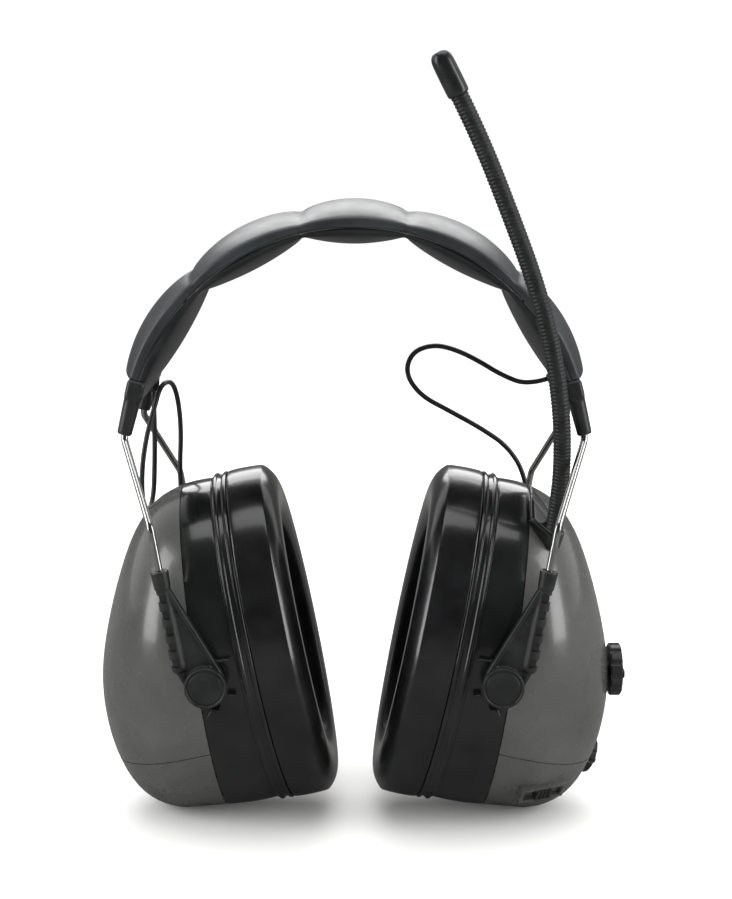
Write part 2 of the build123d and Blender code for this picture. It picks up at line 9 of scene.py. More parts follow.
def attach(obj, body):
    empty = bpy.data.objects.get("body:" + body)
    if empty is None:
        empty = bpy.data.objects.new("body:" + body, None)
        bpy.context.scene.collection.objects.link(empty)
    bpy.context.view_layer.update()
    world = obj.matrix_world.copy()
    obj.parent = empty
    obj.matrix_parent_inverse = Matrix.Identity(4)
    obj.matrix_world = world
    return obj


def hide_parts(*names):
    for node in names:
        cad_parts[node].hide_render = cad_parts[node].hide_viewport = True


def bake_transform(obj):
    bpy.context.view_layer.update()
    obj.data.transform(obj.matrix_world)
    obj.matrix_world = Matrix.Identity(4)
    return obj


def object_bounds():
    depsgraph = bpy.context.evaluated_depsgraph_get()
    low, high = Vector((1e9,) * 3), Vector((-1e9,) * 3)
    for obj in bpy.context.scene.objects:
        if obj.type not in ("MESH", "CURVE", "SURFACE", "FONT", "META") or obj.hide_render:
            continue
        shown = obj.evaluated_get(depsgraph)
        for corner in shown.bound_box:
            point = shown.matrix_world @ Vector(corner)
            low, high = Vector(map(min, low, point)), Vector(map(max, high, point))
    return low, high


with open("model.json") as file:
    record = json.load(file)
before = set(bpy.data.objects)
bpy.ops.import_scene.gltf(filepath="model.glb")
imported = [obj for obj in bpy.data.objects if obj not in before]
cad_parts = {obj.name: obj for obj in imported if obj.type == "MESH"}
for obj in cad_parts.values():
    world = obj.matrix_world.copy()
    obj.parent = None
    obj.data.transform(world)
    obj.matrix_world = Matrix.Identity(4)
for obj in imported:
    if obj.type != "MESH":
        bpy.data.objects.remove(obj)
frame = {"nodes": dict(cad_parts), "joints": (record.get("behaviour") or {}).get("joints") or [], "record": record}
cadLow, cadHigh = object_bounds()
nodes = frame["nodes"]
record = frame["record"]
joints = {joint["name"]: joint for joint in frame["joints"]}
mounts = {mount["name"]: mount for mount in record["mounts"]}
scene = bpy.context.scene
mm = 0.001
print("frame loaded:", len(nodes), "nodes")


# small tools
def hexToLinear(code):
    channels = []
    for index in (0, 2, 4):
        value = int(code[index:index + 2], 16) / 255
        channels.append(value / 12.92 if value <= 0.04045 else ((value + 0.055) / 1.055) ** 2.4)
    return (*channels, 1.0)


def addNode(tree, kind, settings=None, links=None):
    node = tree.nodes.new(kind)
    for key, value in (settings or {}).items():
        if hasattr(node, key):
            setattr(node, key, value)
        else:
            node.inputs[key].default_value = value
    for key, socket in (links or {}).items():
        tree.links.new(socket, node.inputs[key])
    return node


def startMaterial(name, surface):
    material = bpy.data.materials.new(name)
    material.use_nodes = True
    tree = material.node_tree
    shader = tree.nodes["Principled BSDF"]
    for key, value in surface.items():
        shader.inputs[key].default_value = value
    place = addNode(tree, "ShaderNodeTexCoord").outputs["Object"]
    return material, tree, shader, place


def tint(tree, shader, fac, dark, light, low=0.35, high=0.65):
    ramp = addNode(tree, "ShaderNodeValToRGB", links={"Fac": fac})
    ramp.color_ramp.elements[0].position = low
    ramp.color_ramp.elements[0].color = hexToLinear(dark)
    ramp.color_ramp.elements[1].position = high
    ramp.color_ramp.elements[1].color = hexToLinear(light)
    tree.links.new(ramp.outputs["Color"], shader.inputs["Base Color"])


def roughen(tree, shader, fac, low, high):
    span = addNode(tree, "ShaderNodeMapRange", {"To Min": low, "To Max": high}, {"Value": fac})
    tree.links.new(span.outputs["Result"], shader.inputs["Roughness"])


def bumps(tree, shader, layers):
    normal = None
    for fac, strength, depth in layers:
        links = {"Height": fac}
        if normal is not None:
            links["Normal"] = normal
        bump = addNode(tree, "ShaderNodeBump", {"Strength": strength, "Distance": depth}, links)
        normal = bump.outputs["Normal"]
    tree.links.new(normal, shader.inputs["Normal"])


def perSize(size):
    return 1 / size  # a texture scale from the pattern's size in metres


def addObject(name, data):
    thing = bpy.data.objects.new(name, data)
    scene.collection.objects.link(thing)
    return thing


def shadeSmooth(mesh):
    for face in mesh.polygons:
        face.use_smooth = True


def bmToMesh(name, bm):
    mesh = bpy.data.meshes.new(name)
    bm.to_mesh(mesh)
    bm.free()
    return mesh


def finishPiece(name, bm, material, body=None, replaces=()):
    bmesh.ops.remove_doubles(bm, verts=bm.verts, dist=0.002 * mm)
    bmesh.ops.recalc_face_normals(bm, faces=bm.faces)
    mesh = bmToMesh(name, bm)
    shadeSmooth(mesh)
    piece = addObject(name, mesh)
    mesh.materials.append(material)
    dress(piece, body, replaces)
    return piece


def dress(piece, body=None, replaces=()):
    if body:
        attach(piece, body)
    if replaces:
        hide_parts(*replaces)


def addModifier(piece, kind, **settings):
    modifier = piece.modifiers.new(kind.title(), kind)
    for key, value in settings.items():
        setattr(modifier, key, value)
    return modifier


def subdivide(piece, levels):
    return addModifier(piece, "SUBSURF", levels=levels, render_levels=levels)


def softEdges(piece, width, segments=3, angle=35):
    addModifier(piece, "BEVEL", width=width, segments=segments, limit_method="ANGLE",
                angle_limit=math.radians(angle), harden_normals=False)
    addModifier(piece, "WEIGHTED_NORMAL", keep_sharp=True)


def applyModifiers(piece):
    bpy.context.view_layer.update()
    graph = bpy.context.evaluated_depsgraph_get()
    mesh = bpy.data.meshes.new_from_object(piece.evaluated_get(graph), depsgraph=graph)
    old = piece.data
    piece.modifiers.clear()
    piece.data = mesh
    bpy.data.meshes.remove(old)
    return piece


def meshToBm(piece):
    bm = bmesh.new()
    bm.from_mesh(piece.data)
    return bm


def mirrored(piece, name, body=None, replaces=()):
    mesh = piece.data.copy()
    mesh.transform(Matrix.Scale(-1, 4, (1, 0, 0)))
    mesh.flip_normals()
    copy = addObject(name, mesh)
    for modifier in piece.modifiers:
        twin = copy.modifiers.new(modifier.name, modifier.type)
        for setting in modifier.bl_rna.properties:
            if not setting.is_readonly and setting.identifier not in ("name", "type"):
                setattr(twin, setting.identifier, getattr(modifier, setting.identifier))
    dress(copy, body, replaces)
    return copy


def circleLoop(bm, segments, radius, matrix):
    made = bmesh.ops.create_circle(bm, segments=segments, radius=radius, matrix=matrix)
    return made["verts"], list({edge for vert in made["verts"] for edge in vert.link_edges})


def extrudeLoop(bm, edges):
    made = bmesh.ops.extrude_edge_only(bm, edges=edges)["geom"]
    verts = [item for item in made if isinstance(item, bmesh.types.BMVert)]
    return verts, [item for item in made if isinstance(item, bmesh.types.BMEdge)]


def closeLoop(bm, edges):
    bmesh.ops.contextual_create(bm, geom=edges)


def routePoints(name, points, resolution):
    # the route's own smooth line, read from a NURBS curve with no bevel
    curve = bpy.data.curves.new(name, "CURVE")
    curve.dimensions = "3D"
    curve.resolution_u = resolution
    spline = curve.splines.new("NURBS")
    spline.points.add(len(points) - 1)
    for point, place in zip(spline.points, points):
        point.co = (*place, 1)
    spline.order_u = 3
    spline.use_endpoint_u = True
    holder = addObject(name, curve)
    bpy.context.view_layer.update()
    mesh = bpy.data.meshes.new_from_object(holder.evaluated_get(bpy.context.evaluated_depsgraph_get()))
    line = [vert.co.copy() for vert in mesh.vertices]
    bpy.data.meshes.remove(mesh)
    bpy.data.objects.remove(holder)
    bpy.data.curves.remove(curve)
    return line


def evenly(line, spacing):
    # points along a line at an even spacing, first and last kept
    lengths = [0.0]
    for before, after in zip(line, line[1:]):
        lengths.append(lengths[-1] + (after - before).length)
    count = max(2, round(lengths[-1] / spacing))
    result = []
    index = 0
    for step in range(count + 1):
        along = lengths[-1] * step / count
        while index < len(line) - 2 and lengths[index + 1] < along:
            index += 1
        span = max(lengths[index + 1] - lengths[index], 1e-9)
        result.append(line[index].lerp(line[index + 1], min(1, (along - lengths[index]) / span)))
    return result


def tubeAlong(bm, line, radii, segments=16, capped=True):
    # one ring is pulled along the line, turned only as much as the line turns
    heading = (line[1] - line[0]).normalized()
    turn = heading.to_track_quat("Z", "Y").to_matrix().to_4x4()
    verts, edges = circleLoop(bm, segments, radii[0], Matrix.Translation(line[0]) @ turn)
    if capped:
        closeLoop(bm, edges)
    for index in range(1, len(line)):
        here, before = line[index], line[index - 1]
        ahead = line[min(index + 1, len(line) - 1)]
        newHeading = (ahead - before).normalized()
        verts, edges = extrudeLoop(bm, edges)
        swing = heading.rotation_difference(newHeading).to_matrix().to_4x4()
        grow = Matrix.Scale(radii[index] / radii[index - 1], 4)
        move = Matrix.Translation(here) @ swing @ grow @ Matrix.Translation(-before)
        bmesh.ops.transform(bm, matrix=move, verts=verts)
        heading = newHeading
    if capped:
        closeLoop(bm, edges)


def addBox(bm, size, matrix):
    made = bmesh.ops.create_cube(bm, size=1, matrix=matrix @ Matrix.Diagonal((*size, 1)))
    return made["verts"]


def addCylinder(bm, radius, length, matrix, segments=48, topRadius=None):
    # stands on the matrix's origin, along its Z
    lifted = matrix @ Matrix.Translation((0, 0, length / 2))
    top = radius if topRadius is None else topRadius
    made = bmesh.ops.create_cone(bm, cap_ends=True, segments=segments, radius1=radius, radius2=top,
                                 depth=length, matrix=lifted)
    return made["verts"]


def turnOutline(bm, outline, seat, steps):
    # a lathe: an outline of radius and height in millimetres, turned about the seat's Z
    old = set(bm.verts)
    line = [bm.verts.new((radius * mm, 0, height * mm)) for radius, height in outline]
    edges = [bm.edges.new(pair) for pair in zip(line, line[1:])]
    bmesh.ops.spin(bm, geom=line + edges, cent=(0, 0, 0), axis=(0, 0, 1), angle=2 * math.pi, steps=steps,
                   use_merge=True)
    bmesh.ops.transform(bm, matrix=seat, verts=[vert for vert in bm.verts if vert not in old])


def facing(point, direction, across=(0, 1, 0)):
    # a frame at a point whose Z is a direction and whose X is nearest to another
    z = Vector(direction).normalized()
    x = (Vector(across) - z * Vector(across).dot(z)).normalized()
    y = z.cross(x)
    turn = Matrix((x, y, z)).transposed().to_4x4()
    return Matrix.Translation(point) @ turn


def meld(piece, voxel, rounds):
    # joins overlapping solids into one moulded body with soft inner corners
    addModifier(piece, "REMESH", mode="VOXEL", voxel_size=voxel, adaptivity=0)
    addModifier(piece, "SMOOTH", factor=0.5, iterations=rounds)
    applyModifiers(piece)
    shadeSmooth(piece.data)


def inflate(piece, pinned, pressure, cap, frames=16):
    # cloth with air in it; pinned points stay, and no point moves further than the cap
    rest = [vert.co.copy() for vert in piece.data.vertices]
    group = piece.vertex_groups.new(name="pinned")
    group.add([index for index in range(len(rest)) if pinned(rest[index])], 1.0, "REPLACE")
    cloth = addModifier(piece, "CLOTH")
    cloth.settings.use_pressure = True
    cloth.settings.uniform_pressure_force = pressure
    cloth.settings.effector_weights.gravity = 0
    cloth.settings.vertex_group_mass = "pinned"
    cloth.settings.tension_stiffness = 25
    cloth.settings.compression_stiffness = 25
    cloth.settings.bending_stiffness = 2
    cloth.settings.mass = 0.25
    cloth.point_cache.frame_start = 1
    cloth.point_cache.frame_end = frames
    for step in range(1, frames + 1):
        scene.frame_set(step)
    graph = bpy.context.evaluated_depsgraph_get()
    moved = [vert.co.copy() for vert in piece.evaluated_get(graph).data.vertices]
    piece.modifiers.remove(cloth)
    for vert, start, end in zip(piece.data.vertices, rest, moved):
        shift = end - start
        if shift.length > cap:
            shift = shift * (cap / shift.length)
        vert.co = start + shift
    piece.vertex_groups.clear()
    scene.frame_set(1)


# camera, light and floor
camera = {"place": (3.8 * mm, -600 * mm, 42.2 * mm), "pitch": 10.7, "lens": 70.9}


def makeCamera():
    data = bpy.data.cameras.new("camera")
    data.lens = camera["lens"]
    data.sensor_width = 36
    holder = addObject("camera", data)
    holder.location = camera["place"]
    holder.rotation_euler = (math.radians(90 - camera["pitch"]), 0, 0)
    scene.camera = holder


studio = {
    "world": "ffffff", "worldStrength": 1.1, "frontDim": 0.05, "dimFrom": -0.2, "dimTo": 0.6,
    # floorReflected is painted reflection: the floor's colour only where glossy rays see it, darker than the paper
    # itself
    "floor": "f4f4f3", "floorReflected": "6a6a69", "floorSize": 3.0, "sweep": 0.5,
    # name: place, aim, width, height, watts
    "lamps": {
        "topBox": ((0.0, -0.05, 0.85), (0, 0, -0.05), 1.0, 0.7, 5.0),
        "leftBox": ((-0.85, -0.3, 0.1), (0, 0, -0.1), 0.3, 0.9, 5.0),
        "rightBox": ((0.85, -0.3, 0.1), (0, 0, -0.1), 0.3, 0.9, 5.0),
        "backBox": ((0.0, 0.8, 0.5), (0, 0, -0.1), 0.9, 0.5, 6.0),
    },
}


def makeStudio():
    world = bpy.data.worlds.new("studio")
    world.use_nodes = True
    tree = world.node_tree
    ground = tree.nodes["Background"]
    ground.inputs["Color"].default_value = hexToLinear(studio["world"])
    # the room is white, but its reflection is dim in front of the object, as if black cloth hung there
    direction = addNode(tree, "ShaderNodeTexCoord").outputs["Generated"]
    split = addNode(tree, "ShaderNodeSeparateXYZ", links={"Vector": direction})
    dim = addNode(tree, "ShaderNodeMapRange",
                  {"From Min": studio["dimFrom"], "From Max": studio["dimTo"], "To Min": studio["frontDim"],
                   "To Max": studio["worldStrength"], "interpolation_type": "SMOOTHSTEP"},
                  {"Value": split.outputs["Y"]})
    reflected = addNode(tree, "ShaderNodeLightPath").outputs["Is Glossy Ray"]
    strength = addNode(tree, "ShaderNodeMix", {"A": studio["worldStrength"]},
                       {"Factor": reflected, "B": dim.outputs["Result"]})
    tree.links.new(strength.outputs["Result"], ground.inputs["Strength"])
    scene.world = world
    scene.view_settings.view_transform = "Standard"
    for name, (place, aim, width, height, watts) in studio["lamps"].items():
        data = bpy.data.lights.new(name, "AREA")
        data.shape = "RECTANGLE"
        data.size = width
        data.size_y = height
        data.energy = watts
        lamp = addObject(name, data)
        lamp.location = place
        lamp.rotation_euler = (Vector(aim) - Vector(place)).to_track_quat("-Z", "Y").to_euler()
    # the floor runs flat under the object and curves up far behind it
    bm = bmesh.new()
    half = studio["floorSize"]
    bmesh.ops.create_grid(bm, x_segments=40, y_segments=40, size=half,
                          matrix=Matrix.Translation((0, half * 0.5, cadLow.z)))
    for vert in bm.verts:
        beyond = max(0.0, vert.co.y - half * 0.45)
        vert.co.z += beyond ** 2 * studio["sweep"]
    material, tree, shader, _ = startMaterial("paperFloor", {"Roughness": 0.9, "Specular IOR Level": 0.1})
    # painted reflection: glossy rays see the floor as dark grey, so it reflects darker into the object; seen directly
    # it stays near white
    reflected = addNode(tree, "ShaderNodeLightPath").outputs["Is Glossy Ray"]
    tint(tree, shader, reflected, studio["floor"], studio["floorReflected"], 0.0, 1.0)
    finishPiece("studioFloor", bm, material)


makeCamera()
makeStudio()
print("studio made")


# materials
def makeMaterial(name, finish, patterns, colours, rough, relief):
    # patterns: kind, size, detail; the rest name the pattern that drives them
    material, tree, shader, place = startMaterial(name, finish)
    facs = {}
    for label, (kind, size, detail) in patterns.items():
        where = place
        if kind == "drawn":  # noise pulled out along the wire
            where = addNode(tree, "ShaderNodeMapping", {"Scale": (1.0, 1.0, 0.04)}, {"Vector": place}).outputs["Vector"]
        if kind == "cells":
            node = addNode(tree, "ShaderNodeTexVoronoi", {"Scale": perSize(size)}, {"Vector": where})
        else:
            node = addNode(tree, "ShaderNodeTexNoise", {"Scale": perSize(size), "Detail": detail}, {"Vector": where})
        facs[label] = node.outputs["Distance" if kind == "cells" else "Fac"]
    tint(tree, shader, facs[colours[0]], *colours[1:])
    if rough:
        roughen(tree, shader, facs[rough[0]], *rough[1:])
    bumps(tree, shader, [(facs[label], strength, depth) for label, strength, depth in relief])
    return material


def makePlain(name, dark, light, rough, metal=0.0, size=3 * mm):
    # inner pieces that only show with a cup opened
    return makeMaterial(name, {"Roughness": rough, "Metallic": metal}, {"cloudy": ("noise", size, 4.0)},
                        ("cloudy", dark, light), ("cloudy", rough * 0.8, rough * 1.2),
                        (("cloudy", 0.08, 0.05 * mm),))


# PVC-coated cloth, embossed: a soft sheen with a fine pebble grain and faint stretch marks
coverVinyl = makeMaterial(
    "coverVinyl", {"Roughness": 0.4, "IOR": 1.5, "Coat Weight": 0.1, "Coat Roughness": 0.25},
    {"cloudy": ("noise", 14 * mm, 4.0), "grain": ("cells", 0.7 * mm, 0), "stretch": ("noise", 5 * mm, 3.0)},
    ("cloudy", "1d2022", "2a2e30"), ("stretch", 0.34, 0.5), (("grain", 0.12, 0.1 * mm), ("stretch", 0.12, 0.4 * mm)))
# thin soft vinyl over foam: darker and duller than the cover, finely creased
liningVinyl = makeMaterial(
    "liningVinyl", {"Roughness": 0.45, "IOR": 1.5},
    {"cloudy": ("noise", 10 * mm, 5.0), "grain": ("cells", 0.6 * mm, 0)},
    ("cloudy", "0e0f10", "191b1c"), ("cloudy", 0.36, 0.54), (("grain", 0.15, 0.1 * mm), ("cloudy", 0.2, 0.5 * mm)))
# smooth plasticised PVC film: wet-looking black with long soft ripples
sealVinyl = makeMaterial(
    "sealVinyl", {"Roughness": 0.2, "IOR": 1.53, "Coat Weight": 0.35, "Coat Roughness": 0.12},
    {"ripple": ("noise", 11 * mm, 3.0), "fine": ("noise", 1.2 * mm, 4.0)},
    ("ripple", "0a0a0b", "131415"), ("ripple", 0.15, 0.3), (("ripple", 0.25, 0.7 * mm), ("fine", 0.1, 0.08 * mm)))
# ABS moulded in a polished tool, graphite grey: clear gloss with a slight orange peel
shellAbs = makeMaterial(
    "graphiteAbs", {"Roughness": 0.24, "IOR": 1.54, "Coat Weight": 0.3, "Coat Roughness": 0.08},
    {"flow": ("noise", 30 * mm, 3.0), "peel": ("noise", 1.6 * mm, 2.0), "scuff": ("noise", 4 * mm, 8.0)},
    ("flow", "3b3b3a", "474746"), ("scuff", 0.18, 0.33), (("peel", 0.06, 0.05 * mm),))
# the same plastic in black: deep, glossy, with hairline moulding waves
blackAbs = makeMaterial(
    "blackAbs", {"Roughness": 0.17, "IOR": 1.54, "Coat Weight": 0.3, "Coat Roughness": 0.06},
    {"flow": ("noise", 20 * mm, 3.0), "peel": ("noise", 1.4 * mm, 2.0)},
    ("flow", "0c0d0d", "161717"), ("flow", 0.13, 0.24), (("peel", 0.06, 0.05 * mm),))
# glass-filled nylon from a spark-eroded tool: charcoal, satin, finely grained
nylon = makeMaterial(
    "charcoalNylon", {"Roughness": 0.42, "IOR": 1.53},
    {"grain": ("noise", 0.35 * mm, 3.0), "cloudy": ("noise", 6 * mm, 4.0)},
    ("cloudy", "121314", "1d1e1f"), ("cloudy", 0.34, 0.5), (("grain", 0.2, 0.05 * mm),))
# hard-drawn spring steel, nickel plated: bright, with faint lines along the draw
springSteel = makeMaterial(
    "springSteel", {"Metallic": 1.0, "Roughness": 0.16}, {"lines": ("drawn", 0.3 * mm, 2.0)},
    ("lines", "9b9c9a", "bcbdbb"), ("lines", 0.1, 0.26), (("lines", 0.08, 0.02 * mm),))
# moulded rubber jacket: matt on the ribs, dusty in the grooves
whipRubber = makeMaterial(
    "whipRubber", {"Roughness": 0.5, "IOR": 1.5},
    {"dust": ("noise", 3 * mm, 5.0), "grain": ("noise", 0.3 * mm, 2.0)},
    ("dust", "101112", "1b1c1d"), ("dust", 0.4, 0.6), (("grain", 0.15, 0.04 * mm),))
# dip-moulded cap: smooth and half glossy
tipRubber = makeMaterial(
    "tipRubber", {"Roughness": 0.26, "IOR": 1.52}, {"smear": ("noise", 5 * mm, 4.0)},
    ("smear", "121314", "1b1c1d"), ("smear", 0.2, 0.36), (("smear", 0.1, 0.15 * mm),))
# extruded PVC jacket: even, slightly waxy
cordPvc = makeMaterial(
    "cordPvc", {"Roughness": 0.34, "IOR": 1.53}, {"wax": ("noise", 4 * mm, 3.0)},
    ("wax", "141516", "1d1e1f"), ("wax", 0.28, 0.42), (("wax", 0.05, 0.05 * mm),))
# open-cell polyurethane: matt charcoal with pores all over
foam = makeMaterial(
    "acousticFoam", {"Roughness": 0.95, "Specular IOR Level": 0.2},
    {"pores": ("cells", 1.1 * mm, 0), "small": ("cells", 0.5 * mm, 0)},
    ("pores", "4a4c4e", "242527", 0.1, 0.6), None, (("pores", 0.8, 0.5 * mm), ("small", 0.4, 0.2 * mm)))
# soft-touch coated ABS: dull black that lightens where fingers polish it
knobRubber = makeMaterial(
    "softTouch", {"Roughness": 0.5, "IOR": 1.5},
    {"worn": ("noise", 5 * mm, 5.0), "grain": ("noise", 0.3 * mm, 2.0)},
    ("worn", "161718", "232425"), ("worn", 0.38, 0.58), (("grain", 0.15, 0.04 * mm),))
plateAbs = makePlain("plateAbs", "242526", "2f3132", 0.5)  # recycled black ABS, as moulded
coneBlack = makePlain("speakerCone", "1c1c1d", "2a2a2b", 0.6)  # doped paper cone and its painted basket
zincSteel = makePlain("zincSteel", "9a9c9a", "bcbdb9", 0.35, 1.0, 1 * mm)  # zinc-plated screws
boardGreen = makePlain("boardGreen", "0f3d22", "175231", 0.35)  # green solder mask over glass cloth
cellSleeve = makePlain("cellSleeve", "6d7072", "83878a", 0.3)  # shrink sleeve on the cells, unprinted
tinPlate = makePlain("tinPlate", "a8a49a", "c6c2b6", 0.3, 1.0, 1 * mm)  # tinned contact strip
print("materials made")


def repaint(material, *names):
    for name in names:
        node = nodes[name]
        node.data.materials.clear()
        node.data.materials.append(material)


# headband
band = {
    "radius": 75 * mm, "halfWidth": 28 * mm, "endAngle": 71.5, "stepAngle": 1.3,
    "necks": (-42.9, -13.0, 13.0, 42.9),
    "neckRise": 0.6, "neckFloor": -1.9 * mm, "neckWidth": 0.05,
    "chordOut": 0.35 * mm, "chordIn": -0.3 * mm,
    # half of the section: distance from the middle, height above the seam
    "cover": ((27.8, 0.0), (28.3, 0.7), (28.25, 2.2), (28.0, 3.2), (27.5, 3.8), (26.7, 4.2), (24.5, 5.0), (20.5, 6.2),
              (15.0, 7.3), (8.0, 8.1), (0.0, 8.35)),
    "lining": ((27.7, 0.0), (28.0, -0.7), (27.7, -1.7), (26.2, -2.8), (22.5, -4.2), (16.0, -5.7), (8.0, -6.4),
               (0.0, -6.6)),
    "across": (21.0, 14.0, 7.0, 0.0, -7.0, -14.0, -21.0),  # the points that close the section along the seam
    "swell": 1.0 * mm, "flexFrom": 38.0, "flexTo": 56.0,
    "dimple": 1.9 * mm, "dimpleRadius": 3.6 * mm,
    # a stud's outline: radius and height above its foot inside the band
    "stud": ((0.0, 0.0), (1.2, 0.0), (1.2, 4.4), (2.4, 4.6), (2.45, 5.0), (2.1, 5.4), (1.2, 5.7), (0.0, 5.8)),
}
spread = Vector(joints["right_spread"]["pos_m"])
bandCentre = Vector((0, 0, spread.z - math.sqrt(band["radius"] ** 2 - spread.x ** 2)))


def onBand(degrees, radius=None, y=0.0):
    turn = math.radians(degrees)
    reach = band["radius"] if radius is None else radius
    return bandCentre + Vector((reach * math.sin(turn), y, reach * math.cos(turn)))


def bandAngle(point):
    offset = point - bandCentre
    return math.degrees(math.atan2(offset.x, offset.z))


def puffAt(degrees):
    # 0 at a neck, 1 in the middle of a puff
    edges = (-band["endAngle"] - 3,) + band["necks"] + (band["endAngle"] + 3,)
    for low, high in zip(edges, edges[1:]):
        if low <= degrees <= high:
            share = (degrees - low) / (high - low)
            return math.sin(math.pi * share) ** 0.62
    return 0.0


def padSection(half):
    outline = [(-y, z) for y, z in half] + [(y, z) for y, z in reversed(half[:-1])]
    return outline + [(y, 0.0) for y in band["across"]]


def makePad(name, half, material, isCover):
    bm = bmesh.new()
    start = -band["endAngle"]
    ring = [bm.verts.new(bandCentre + Vector((0, y * mm, band["radius"] + z * mm)))
            for y, z in padSection(half)]
    edges = [bm.edges.new((ring[index - 1], ring[index])) for index in range(len(ring))]
    bmesh.ops.rotate(bm, verts=ring, cent=bandCentre, matrix=Matrix.Rotation(math.radians(start), 3, "Y"))
    closeLoop(bm, edges)
    turned = bmesh.ops.spin(bm, geom=ring + edges, cent=bandCentre, axis=(0, 1, 0),
                            angle=math.radians(-2 * start), steps=round(-2 * start / band["stepAngle"]))
    closeLoop(bm, [item for item in turned["geom_last"] if isinstance(item, bmesh.types.BMEdge)])
    for vert in bm.verts:
        offset = vert.co - bandCentre
        degrees = bandAngle(vert.co)
        reach = math.hypot(offset.x, offset.z) - band["radius"]
        puff = puffAt(degrees)
        pinched = reach * band["neckRise"] if isCover else max(reach, band["neckFloor"])
        seam = band["chordOut"] + (band["chordIn"] - band["chordOut"]) * puff
        reach = pinched + (reach - pinched) * puff + seam
        width = 1 - band["neckWidth"] * (1 - puff)
        vert.co = onBand(degrees, band["radius"] + reach, offset.y * width)
    pad = finishPiece(name, bm, material)

    def heldDown(point):
        offset = point - bandCentre
        reach = (math.hypot(offset.x, offset.z) - band["radius"]) / mm
        degrees = abs(bandAngle(point))
        nearEnd = degrees > band["endAngle"] - 2
        nearNeck = min(abs(degrees - neck) for neck in band["necks"]) < 0.9
        atSeam = abs(offset.y) > band["halfWidth"] * 0.93 or (reach < 1.6 if isCover else reach > -1.2)
        return nearEnd or nearNeck or atSeam

    inflate(pad, heldDown, 2.5 if isCover else 2.0, band["swell"])
    subdivide(pad, 2)
    applyModifiers(pad)
    if isCover:
        # the studs pull a round dimple into each neck
        for vert in pad.data.vertices:
            offset = vert.co - bandCentre
            if math.hypot(offset.x, offset.z) < band["radius"] + 2.5 * mm:
                continue
            degrees = bandAngle(vert.co)
            for neck in band["necks"]:
                away = math.hypot(offset.y, math.radians(degrees - neck) * band["radius"]) / band["dimpleRadius"]
                vert.co -= Vector((offset.x, 0, offset.z)).normalized() * band["dimple"] * math.exp(-away ** 4)
    return pad


def cutPad(whole, name, keep):
    # one part of the pad, shaded as if the rest were still there
    bm = meshToBm(whole)
    bm.normal_update()
    before = bm.verts.layers.float_vector.new("before")
    for vert in bm.verts:
        vert[before] = vert.normal
    away = [face for face in bm.faces if not keep(bandAngle(face.calc_center_median()))]
    bmesh.ops.delete(bm, geom=away, context="FACES")
    mesh = bmToMesh(name, bm)
    mesh.materials.append(whole.data.materials[0])
    shadeSmooth(mesh)
    mesh.normals_split_custom_set_from_vertices([Vector(item.vector) for item in mesh.attributes["before"].data])
    return addObject(name, mesh)


def makeHeadband():
    neck = band["necks"][2]
    for part, material, slot in (("cover", coverVinyl, "cover_vinyl"), ("lining", liningVinyl, "lining_vinyl")):
        whole = makePad("whole" + part.title(), band[part], material, part == "cover")
        middle = cutPad(whole, "crown" + part.title(), lambda angle: abs(angle) < neck)
        right = cutPad(whole, "right" + part.title(), lambda angle: angle > neck)
        left = cutPad(whole, "left" + part.title(), lambda angle: angle < -neck)
        bpy.data.objects.remove(whole)
        dress(middle, "crown", ("crown_" + part,))
        for side, pad, sign in (("right", right, 1), ("left", left, -1)):
            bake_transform(pad)
            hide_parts(side + "_band_" + part)
    studs = bmesh.new()
    for neck in band["necks"]:
        out = (onBand(neck, band["radius"] * 2) - onBand(neck)).normalized()
        seat = facing(onBand(neck, band["radius"] - mm), out)
        turnOutline(studs, band["stud"], seat, 28)
    finishPiece("bandStuds", studs, blackAbs, "crown", ("band_rivets",))
    repaint(springSteel, "rear_crown_wire", "front_crown_wire", "left_rear_wire", "left_front_wire",
            "right_rear_wire", "right_front_wire")
    print("headband made")


makeHeadband()

# yokes
yoke = {
    "start": 70.3, "end": 75.7, "halfWidth": 28.4 * mm, "inner": -2.9 * mm, "outer": 3.3 * mm,
    "legSpacing": 25.4 * mm, "legTop": 3.0 * mm, "legFoot": 2.5 * mm, "legLength": 12.0 * mm,
    "webHalf": 16.0 * mm, "webEnd": 77.4, "webThickness": 2.4 * mm,
    "legInside": 3.0,  # degrees of each leg that lie in the block
    "legOut": 0.35 * mm, "round": 1.4 * mm,
    # the cord's spout: distance along the cord and radius, millimetres
    "spout": ((-5.0, 2.4), (-2.5, 2.2), (-0.3, 1.75), (0.0, 1.5)),
}


